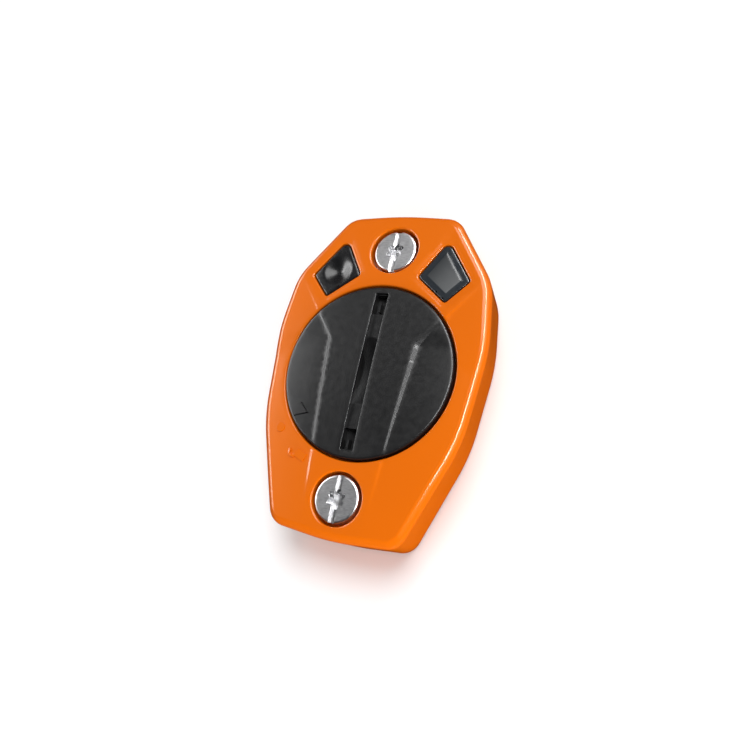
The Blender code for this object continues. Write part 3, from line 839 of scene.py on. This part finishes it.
def all_materials():
    even = (1.0, 1.0, 1.0)
    return {
        "orange_plastic": orange_plastic(),
        "black_plastic": black_plastic(),
        "gloss_black_plastic": gloss_black(),
        "smoked_lens": smoked_lens(),
        "clear_plastic": clear_plastic(),
        "seal_rubber": rubber(),
        "screw_steel": metal("screw_steel", (0.50, 0.50, 0.51), (0.64, 0.64, 0.65), 0.28, 0.38,
                             (0.3, 1.0, 1.0), 5200.0, 0.0016),
        "cell_steel": metal("cell_steel", (0.62, 0.62, 0.62), (0.72, 0.72, 0.72), 0.2, 0.3,
                            (0.1, 1.0, 1.0), 4000.0, 0.003),
        "shield_tin": metal("shield_tin", (0.55, 0.56, 0.57), (0.66, 0.67, 0.68), 0.28, 0.4,
                            even, 2500.0, 0.004),
        "sleeve_brass": metal("sleeve_brass", (0.58, 0.4, 0.15), (0.72, 0.53, 0.22), 0.24, 0.36,
                              (1.0, 1.0, 0.1), 5000.0, 0.005),
        "contact_gold": metal("contact_gold", (0.76, 0.52, 0.2), (0.86, 0.63, 0.27), 0.2, 0.3,
                              even, 3000.0, 0.003),
        "board_green": board_green(),
        "chip_black": matt("chip_black", (0.014, 0.014, 0.015), (0.024, 0.024, 0.026), 0.5),
        "ceramic_tan": matt("ceramic_tan", (0.34, 0.23, 0.14), (0.46, 0.33, 0.22), 0.5),
    }


MATERIALS = all_materials()


# Housing ----------------------------------------------------------------------
def band_lines(offsets, spacing=0.5):
    """Lines along both edges of the raised band, moved outwards by each offset."""
    lines = []
    for out in offsets:
        for side in (1, -1):
            lines.append([(side * p.x, p.y) for p in band_edge(out, spacing)])
    return lines


def band_edge(out, spacing):
    """The right edge of the band from the arm's end to the foot, moved outwards."""
    corner = WAIST + CORNER_OUT * (out / CORNER_OUT.dot(STEM_OUT))
    points = []
    for end, shift in ((ARM_END, ARM_OUT), (FOOT_END, STEM_OUT)):
        far = end + shift * out
        steps = int((far - corner).length / spacing)
        part = [corner.lerp(far, j / steps) for j in range(steps + 1)]
        points += reversed(part) if end is ARM_END else part[1:]
    return points


def lips(skin, pairs, height, width, steps=5):
    """Rounded edge of an opening, from the face down to its wall; returns its loops."""
    loops = []
    for side, down in quarter(width, width, steps):
        loops.append(skin.loop(pairs, side, lambda x, y, d=down: height(x, y) - d))
    return loops


def housing_skin():
    """The outer form with its face, edges and blind openings, closed underneath."""
    skin = Skin()
    outline = rounded(body_corners(), 0.55, math.radians(5))
    edge = [edge_loop(skin, outline, -side, down) for side, down in front_edge()]
    wall_top = front_edge()[-1][1]
    for share in (0.25, 0.5, 0.75, 1.0):
        edge.append(wall_loop(skin, outline, wall_top, share))
    for side, down in reversed(quarter(FOOT_ROUND, FOOT_ROUND, 3)[:-1]):
        edge.append(skin.loop(outline, -side, RIM_Z + down, narrowing))
    skin.chain(edge)
    skin.fill(edge[-1])
    holes = []
    for pairs, floor in openings():
        loops = lips(skin, pairs, face_height, LIP)
        holes.append(loops[0])
        loops.append(skin.loop(pairs, 0.0, floor))
        skin.chain(loops)
        skin.fill(loops[-1])
    lines = band_lines((-CREASE_ROUND, CREASE_ROUND, FACE_FACET - CREASE_ROUND,
                        FACE_FACET + CREASE_ROUND))
    for mirror in (False, True):
        for grow in (SURROUND - SURROUND_SLOPE / 2, SURROUND + SURROUND_SLOPE / 2):
            ring = [point for point, _ in rounded(window_corners(grow, mirror), 0.5)]
            lines.append(ring + ring[:1])
    skin.surface(edge[0], holes, lines, face_height, 0.62)
    return skin.mesh("housing")


def edge_loop(skin, outline, grow, down):
    """A loop of the front edge's rounding, whose height follows the face beside it."""
    indices = []
    for point, normal in outline:
        inner = point - normal * EDGE_ROUND
        z = face_height(inner.x, inner.y) - down
        place = point + normal * grow
        indices.append(skin.add(place.x * narrowing(min(z, FACE_Z)), place.y, z))
    return indices


def wall_loop(skin, outline, wall_top, share):
    """A loop of the side wall, part of the way from the rounding to the rear rim."""
    indices = []
    for point, normal in outline:
        inner = point - normal * EDGE_ROUND
        top = face_height(inner.x, inner.y) - wall_top
        z = top + (RIM_Z + FOOT_ROUND - top) * share
        indices.append(skin.add(point.x * narrowing(z), point.y, z))
    return indices


def openings():
    """(pairs, floor height) of the cap's opening, the screw recesses and the windows."""
    blind = CEILING_Z - 0.5
    yield circle(OPENING_R, 160, CAP_Y), blind
    for y in (SCREW_Y, -SCREW_Y):
        yield circle(RECESS_R, 72, y), blind
    for mirror in (False, True):
        yield rounded(window_corners(0.0, mirror), 0.5, math.radians(12)), blind


def well_ring():
    """Battery well below the front wall, with the bayonet ledge."""
    profile = [(WELL_OUTER_R, CEILING_Z + 0.3), (WELL_OUTER_R, WELL_FOOT), (WELL_R, WELL_FOOT),
               (WELL_R, LEDGE_Z), (LEDGE_R, LEDGE_Z), (LEDGE_R, SEAT_Z),
               (OPENING_R + OVERLAP, SEAT_Z), (OPENING_R + OVERLAP, CEILING_Z + 0.3)]
    return turned(profile, 160, CAP_Y, closed=True)


def boss_tube(y):
    """Screw boss: recess floor, sleeve seat and the tube round the sleeve."""
    outer_r = RECESS_R + OVERLAP
    profile = [(BOSS_R, CEILING_Z + 0.2), (BOSS_R, BOSS_FOOT), (SLEEVE_HOLE_R, BOSS_FOOT),
               (SLEEVE_HOLE_R, SLEEVE_TOP + 0.15), (SLEEVE_BORE, SLEEVE_TOP + 0.15),
               (SLEEVE_BORE, RECESS_FLOOR), (outer_r, RECESS_FLOOR), (outer_r, CEILING_Z + 0.2)]
    return turned(profile, 72, y, closed=True)


def raised_dot(x, y, radius):
    top = face_height(x, y) + MARK_RISE
    pairs = [(point + Vector((x, y)), normal) for point, normal in circle(radius, 40)]
    return bevelled(prism(pairs, top - 1.0, top), DOT_BEVEL)


def open_padlock(x, y, turn):
    """A generic open padlock about 3.4 mm long: a body block and a swung-out shackle."""
    top = face_height(x, y) + MARK_RISE
    low = top - 1.0
    half_x, half_y = LOCK_HALF
    body = rounded(rectangle(half_x, half_y, 0.15), 0.4, math.radians(20))
    steps = 22
    arcs = []
    for radius in SHACKLE_R:
        angles = [math.radians(SHACKLE_START) + math.radians(SHACKLE_ARC) * i / steps
                  for i in range(steps + 1)]
        arcs.append([(radius * math.cos(a), radius * math.sin(a)) for a in angles])
    ring = arcs[0] + arcs[1][::-1]
    shackle = slab(*([(px, py, z) for px, py in ring] for z in (top, low)))
    shackle.transform(Matrix.Translation((SHACKLE_PLACE[0] * MM, SHACKLE_PLACE[1] * MM, 0)))
    lock = combined(prism(body, low, top), ("UNION", shackle))
    lock = bevelled(lock, PADLOCK_BEVEL)
    turning = Matrix.Rotation(math.radians(turn), 4, "Z")
    lock.transform(Matrix.Translation((x * MM, y * MM, 0)) @ turning)
    return lock


def housing():
    cavity = prism(rounded(moved(body_corners(), -WALL), 1.5), REBATE_Z - 0.5, CEILING_Z)
    cavity.transform(Matrix.Diagonal((narrowing(5.0), 1, 1, 1)))
    rebate = prism(rounded(moved(body_corners(), -REBATE_WALL), 1.5), -1.0, REBATE_Z)
    rebate.transform(Matrix.Diagonal((narrowing(1.0), 1, 1, 1)))
    mesh = combined(
        housing_skin(),
        ("DIFFERENCE", rebate),
        ("DIFFERENCE", cavity),
        ("UNION", well_ring()),
        ("UNION", boss_tube(SCREW_Y)),
        ("UNION", boss_tube(-SCREW_Y)),
        ("UNION", raised_dot(*DOT)),
        ("UNION", open_padlock(*PADLOCK)),
    )
    return piece("housing_shell", mesh, "housing", "orange_plastic", "front_housing")


# Cap --------------------------------------------------------------------------
def slot_pairs():
    half_x, half_y = SLOT_WIDTH / 2, SLOT_LENGTH / 2
    corners = [(half_x, CAP_Y + half_y, 0.2), (half_x, CAP_Y - half_y, 0.2),
               (-half_x, CAP_Y - half_y, 0.2), (-half_x, CAP_Y + half_y, 0.2)]
    return rounded(corners, 0.5, math.radians(22))


def cap_skin():
    skin = Skin()
    rim = circle(CAP_R, 192, CAP_Y)
    loops = [cap_edge_loop(skin, rim, -side, down)
             for side, down in quarter(CAP_EDGE_ROUND, CAP_EDGE_ROUND, 6)]
    for radius, z in ((CAP_R, 8.6), (CAP_R, CAP_UNDERSIDE), (SKIRT_R, CAP_UNDERSIDE),
                      (SKIRT_R, SKIRT_FOOT), (SKIRT_INNER_R, SKIRT_FOOT),
                      (SKIRT_INNER_R, CAP_UNDERSIDE)):
        loops.append(skin.loop(rim, radius - CAP_R, z))
    skin.chain(loops)
    skin.fill(loops[-1])
    slot = lips(skin, slot_pairs(), cap_height, SLOT_LIP, 3)
    slot.append(skin.loop(slot_pairs(), 0.0, SLOT_FLOOR))
    skin.chain(slot)
    skin.fill(slot[-1])
    lines = band_lines((-CREASE_ROUND, CREASE_ROUND), 0.4)
    for side in (1, -1):
        for extra in (-CREASE_ROUND, CREASE_ROUND):
            share = 1.0 if side > 0 else LEFT_FACET
            points = [band_foot_point(p, extra, share) for p in band_edge(0.0, 0.4)]
            lines.append([(side * p.x, p.y) for p in points])
    skin.surface(loops[0], [slot[0]], lines, cap_height, 0.55)
    return skin.mesh("cap")


def band_foot_point(point, extra, share):
    """Moves a point of the band's edge out to the facet's lower edge, and a little more."""
    out = facet_width(point.y) * share + extra
    if abs(point.y - WAIST.y) < 0.02:
        return point + CORNER_OUT * (out / CORNER_OUT.dot(STEM_OUT))
    shift = ARM_OUT if point.y > WAIST.y else STEM_OUT
    return point + shift * out


def cap_edge_loop(skin, rim, grow, down):
    indices = []
    for point, normal in rim:
        inner = point - normal * CAP_EDGE_ROUND
        place = point + normal * grow
        indices.append(skin.add(place.x, place.y, cap_height(inner.x, inner.y) - down))
    return indices


def coin_cut():
    """The deep middle of the slot: an arc that fits a coin's edge."""
    width = SLOT_WIDTH - CUT_GAP
    steps = 28
    profile = []
    for i in range(steps + 1):
        v = COIN_CHORD / 2 * (1 - 2 * i / steps)
        depth = (COIN_DEPTH + SLOT_FLOOR - CAP_CROWN_Z) * (1 - (2 * v / COIN_CHORD) ** 2)
        profile.append((v + CAP_Y, SLOT_FLOOR + 0.05 - depth))
    for end in (-COIN_CHORD / 2, COIN_CHORD / 2):
        profile.append((end + CAP_Y, SLOT_FLOOR + 0.4))
    return slab(*([(x, y, z) for y, z in profile] for x in (width / 2, -width / 2)))


def arrow_cuts():
    """Two thin engraved strokes that meet at the arrow's tip."""
    for end in ARROW_ENDS:
        middle = (ARROW_TIP + end) / 2
        along = end - ARROW_TIP
        angle = math.degrees(math.atan2(along.y, along.x))
        low = cap_height(middle.x, middle.y) - ARROW_DEPTH
        yield block((along.length + 0.2, ARROW_WIDTH), low, low + 1.0, middle, angle)


def battery_cap():
    width = SLOT_WIDTH - CUT_GAP
    steps = [("DIFFERENCE", coin_cut())]
    for side in (1, -1):
        place = (0.0, CAP_Y + side * POCKET_Y)
        pocket = block((width, POCKET_LENGTH), POCKET_FLOOR, SLOT_FLOOR + 0.3, place)
        steps.append(("DIFFERENCE", pocket))
        rib = block((POCKET_RIB, POCKET_LENGTH * 0.45), POCKET_FLOOR - 0.2, SLOT_FLOOR - 0.05,
                    (-0.1, place[1] + POCKET_RIB_Y[side]))
        steps.append(("UNION", rib))
    for stroke in arrow_cuts():
        steps.append(("DIFFERENCE", stroke))
    for angle in LUG_ANGLES:
        reach = LUG_R - LUG_LENGTH / 2
        a = math.radians(angle)
        place = (reach * math.cos(a), CAP_Y + reach * math.sin(a))
        lug = block((LUG_LENGTH, LUG_WIDTH), SKIRT_FOOT, LUG_TOP, place, angle)
        steps.append(("UNION", lug))
    mesh = combined(cap_skin(), *steps)
    return piece("battery_cap_shell", mesh, "battery_cap", "black_plastic", "battery_cap")


# Button and window ------------------------------------------------------------
def insert_skin(mirror, top_height, edge_width, lines):
    """A body that fills a window opening, with a flange behind the front wall."""
    corners = window_corners(-INSERT_GAP, mirror)
    pairs = rounded(corners, 0.4, math.radians(12))
    skin = Skin()
    loops = []
    for side, down in quarter(edge_width, edge_width, 5):
        loops.append(skin.loop(pairs, -side, lambda x, y, d=down: top_height(x, y) - d))
    loops.append(skin.loop(pairs, 0.0, FLANGE_TOP))
    loops.append(skin.loop(pairs, FLANGE + INSERT_GAP, FLANGE_TOP))
    loops.append(skin.loop(pairs, FLANGE + INSERT_GAP, FLANGE_FOOT))
    skin.chain(loops)
    skin.fill(loops[-1])
    skin.surface(loops[0], [], lines, top_height, 0.3)
    return skin.mesh("insert")


def lens_height(x, y):
    """A flat border, then a bevel up to the inner pane."""
    inside = -distance_to_corners(x, y, WINDOW) - INSERT_GAP
    return LENS_Z + LENS_STEP * smoothstep((inside - LENS_BORDER) / LENS_BEVEL)


def window():
    lines = []
    for grow in (0.0, LENS_BEVEL / 2, LENS_BEVEL):
        ring = [p for p, _ in rounded(window_corners(-INSERT_GAP - LENS_BORDER - grow), 0.3)]
        lines.append(ring + ring[:1])
    mesh = insert_skin(False, lens_height, LENS_EDGE, lines)
    return piece("window_lens", mesh, "housing", "smoked_lens", "indicator_window")


def button_height(x, y):
    """Nearly flat, with a round finger dish."""
    r = (Vector((x, y)) - BUTTON_CENTRE).length
    t = min(r / DISH_R, 1.0)
    dish = DISH_DEPTH * (1 - t * t) ** 2 if t < 1 else 0.0
    return BUTTON_Z - BUTTON_CROWN * r * r - dish


def button():
    mesh = insert_skin(True, button_height, BUTTON_EDGE, [])
    post = turned([(POST_R, FLANGE_FOOT + 0.2), (POST_R, POST_FOOT)], 40)
    post.transform(Matrix.Translation((BUTTON_CENTRE.x * MM, BUTTON_CENTRE.y * MM, 0)))
    mesh = combined(mesh, ("UNION", post))
    return piece("button_shell", mesh, "button", "gloss_black_plastic", "button_cap")


# Screws -----------------------------------------------------------------------
def drive_radius(a):
    """Six-lobed drive: a wave around a circle."""
    return DRIVE_R - DRIVE_WAVE * math.cos(6 * a)


def screw(name, y):
    rounding = [(HEAD_R - side, HEAD_TOP - down) for side, down in quarter(*HEAD_ROUND, 5)]
    profile = [*rounding, (HEAD_R, HEAD_FOOT), (SHANK_R, HEAD_FOOT)]
    z = THREAD_TOP
    while z > THREAD_END:
        profile += [(SHANK_R, z), (SHANK_R - THREAD_DEPTH, z - THREAD_PITCH / 2)]
        z -= THREAD_PITCH
    profile += [(SHANK_R - 0.3, 0.6), (SHANK_R - 0.55, 0.25)]
    head = turned(profile, 96, y)
    drive = prism(circle(drive_radius, 96, y), HEAD_TOP - DRIVE_DEPTH, HEAD_TOP + 1)
    slot = block((HEAD_SLOT_WIDTH, 8.0), HEAD_TOP - HEAD_SLOT_DEPTH, HEAD_TOP + 1, (0, y))
    mesh = combined(head, ("DIFFERENCE", drive), ("DIFFERENCE", slot))
    mesh = bevelled(mesh, SCREW_BEVEL, 1, math.radians(50))
    return piece(f"{name}_screw_body", mesh, "housing", "screw_steel", f"{name}_screw")


# Rear cover -------------------------------------------------------------------
def rear_cover():
    outline = rounded(moved(body_corners(), -COVER_INSET), 0.8)
    plate = prism(outline, COVER_FOOT, COVER_TOP)
    plate.transform(Matrix.Diagonal((narrowing(1.0), 1, 1, 1)))
    steps = [("UNION", block(LAND_SIZE, 0.0, COVER_FOOT + 0.2))]
    for x, y in BOARD_POSTS:
        post = turned([(BOARD_POST_R, BOARD_FOOT - 0.15), (BOARD_POST_R, COVER_TOP - 0.2)], 24)
        post.transform(Matrix.Translation((x * MM, y * MM, 0)))
        steps.append(("UNION", post))
    for y in (SCREW_Y, -SCREW_Y):
        hole = turned([(SLEEVE_HOLE_R, COVER_TOP + 1), (SLEEVE_HOLE_R, -1.0)], 72, y)
        steps.append(("DIFFERENCE", hole))
    mesh = bevelled(combined(plate, *steps), COVER_BEVEL)
    return piece("rear_plate", mesh, "housing", "orange_plastic", "rear_cover")


def dress_carried_nodes():
    """Every CAD node that stays gets the procedural material of its own slot."""
    slots = {part["node"]: part["material_slot"] for part in frame["record"]["subparts"]}
    for name, obj in frame["nodes"].items():
        for place in obj.material_slots:
            place.material = MATERIALS[slots[name]]


# Stage ------------------------------------------------------------------------
def floor():
    bm = bmesh.new()
    bmesh.ops.create_grid(bm, x_segments=2, y_segments=2, size=1.5)
    mesh = bpy.data.meshes.new("floor")
    bm.to_mesh(mesh)
    bm.free()
    obj = bpy.data.objects.new("floor", mesh)
    bpy.context.scene.collection.objects.link(obj)
    look = Look("floor", 0.8)
    look.colour(look.noise(4.0), (0.92, 0.93, 0.935), (0.935, 0.945, 0.95))
    look.shader.inputs["Specular IOR Level"].default_value = 0.1
    obj.data.materials.append(look.material)
    obj.visible_glossy = False


def area_light(name, place, size, power):
    """A soft box that faces the tag; place and size are in millimetres, power in watts."""
    data = bpy.data.lights.new(name, "AREA")
    data.shape = "RECTANGLE"
    data.size, data.size_y = size[0] * MM, size[1] * MM
    data.energy = power
    obj = bpy.data.objects.new(name, data)
    bpy.context.scene.collection.objects.link(obj)
    obj.location = Vector(place) * MM
    aim = (LIGHT_TARGET - Vector(place)).normalized()
    obj.rotation_mode = "QUATERNION"
    obj.rotation_quaternion = aim.to_track_quat("-Z", "Y")
    return obj


def sun(direction, strength, angle):
    """Even daylight from a direction, with soft shadows."""
    data = bpy.data.lights.new("key", "SUN")
    data.energy = strength
    data.angle = math.radians(angle)
    obj = bpy.data.objects.new("key", data)
    bpy.context.scene.collection.objects.link(obj)
    obj.rotation_mode = "QUATERNION"
    obj.rotation_quaternion = (-Vector(direction)).to_track_quat("-Z", "Y")


def aimed(azimuth, elevation, distance):
    """A place at an azimuth from +X towards +Y, an elevation and a distance."""
    a, e = math.radians(azimuth), math.radians(elevation)
    return (distance * math.cos(a) * math.cos(e), distance * math.sin(a) * math.cos(e),
            distance * math.sin(e))


def strip(name, start, end, width, power):
    """A long narrow soft box between two places, facing the tag."""
    start, end = Vector(start), Vector(end)
    along = (end - start).normalized()
    obj = area_light(name, (start + end) / 2, ((end - start).length, width), power)
    back = (obj.location / MM - LIGHT_TARGET).normalized()
    across = back.cross(along).normalized()
    along = across.cross(back)
    obj.rotation_quaternion = Matrix((along, across, back)).transposed().to_quaternion()
    return obj


def shine(light):
    """Keeps a light out of diffuse light, so that it is seen only in reflections."""
    light.visible_diffuse = False


def lights():
    sun(SUN_DIRECTION, SUN_STRENGTH, SUN_ANGLE)
    for name, start, end, distance, width, power in STRIPS:
        shine(strip(name, aimed(*start, distance), aimed(*end, distance), width, power))
    shine(area_light("left_box", aimed(170.0, 34.0, 330.0), (240.0, 90.0), 0.66))
    fill = area_light("right_fill", aimed(-55.0, 6.0, 320.0), (240.0, 50.0), 0.9)
    fill.visible_glossy = False
    world = bpy.data.worlds.new("studio")
    bpy.context.scene.world = world
    world.cycles_visibility.glossy = False
    world.use_nodes = True
    background = world.node_tree.nodes["Background"]
    background.inputs["Color"].default_value = (1.0, 1.0, 1.0, 1.0)
    background.inputs["Strength"].default_value = WORLD_STRENGTH


def camera():
    data = bpy.data.cameras.new("camera")
    data.lens = LENS
    data.sensor_width = SENSOR
    data.clip_start, data.clip_end = 0.005, 10.0
    obj = bpy.data.objects.new("camera", data)
    bpy.context.scene.collection.objects.link(obj)
    right = CAMERA_RIGHT.normalized()
    up = (CAMERA_UP - right * CAMERA_UP.dot(right)).normalized()
    back = right.cross(up)
    turn = Matrix((right, up, back)).transposed().to_4x4()
    obj.matrix_world = Matrix.Translation(CAMERA_PLACE * MM) @ turn
    bpy.context.scene.camera = obj
    bpy.context.scene.view_settings.view_transform = "Standard"


dress_carried_nodes()
housing()
battery_cap()
window()
button()
screw("upper", SCREW_Y)
screw("lower", -SCREW_Y)
rear_cover()
floor()
lights()
camera()
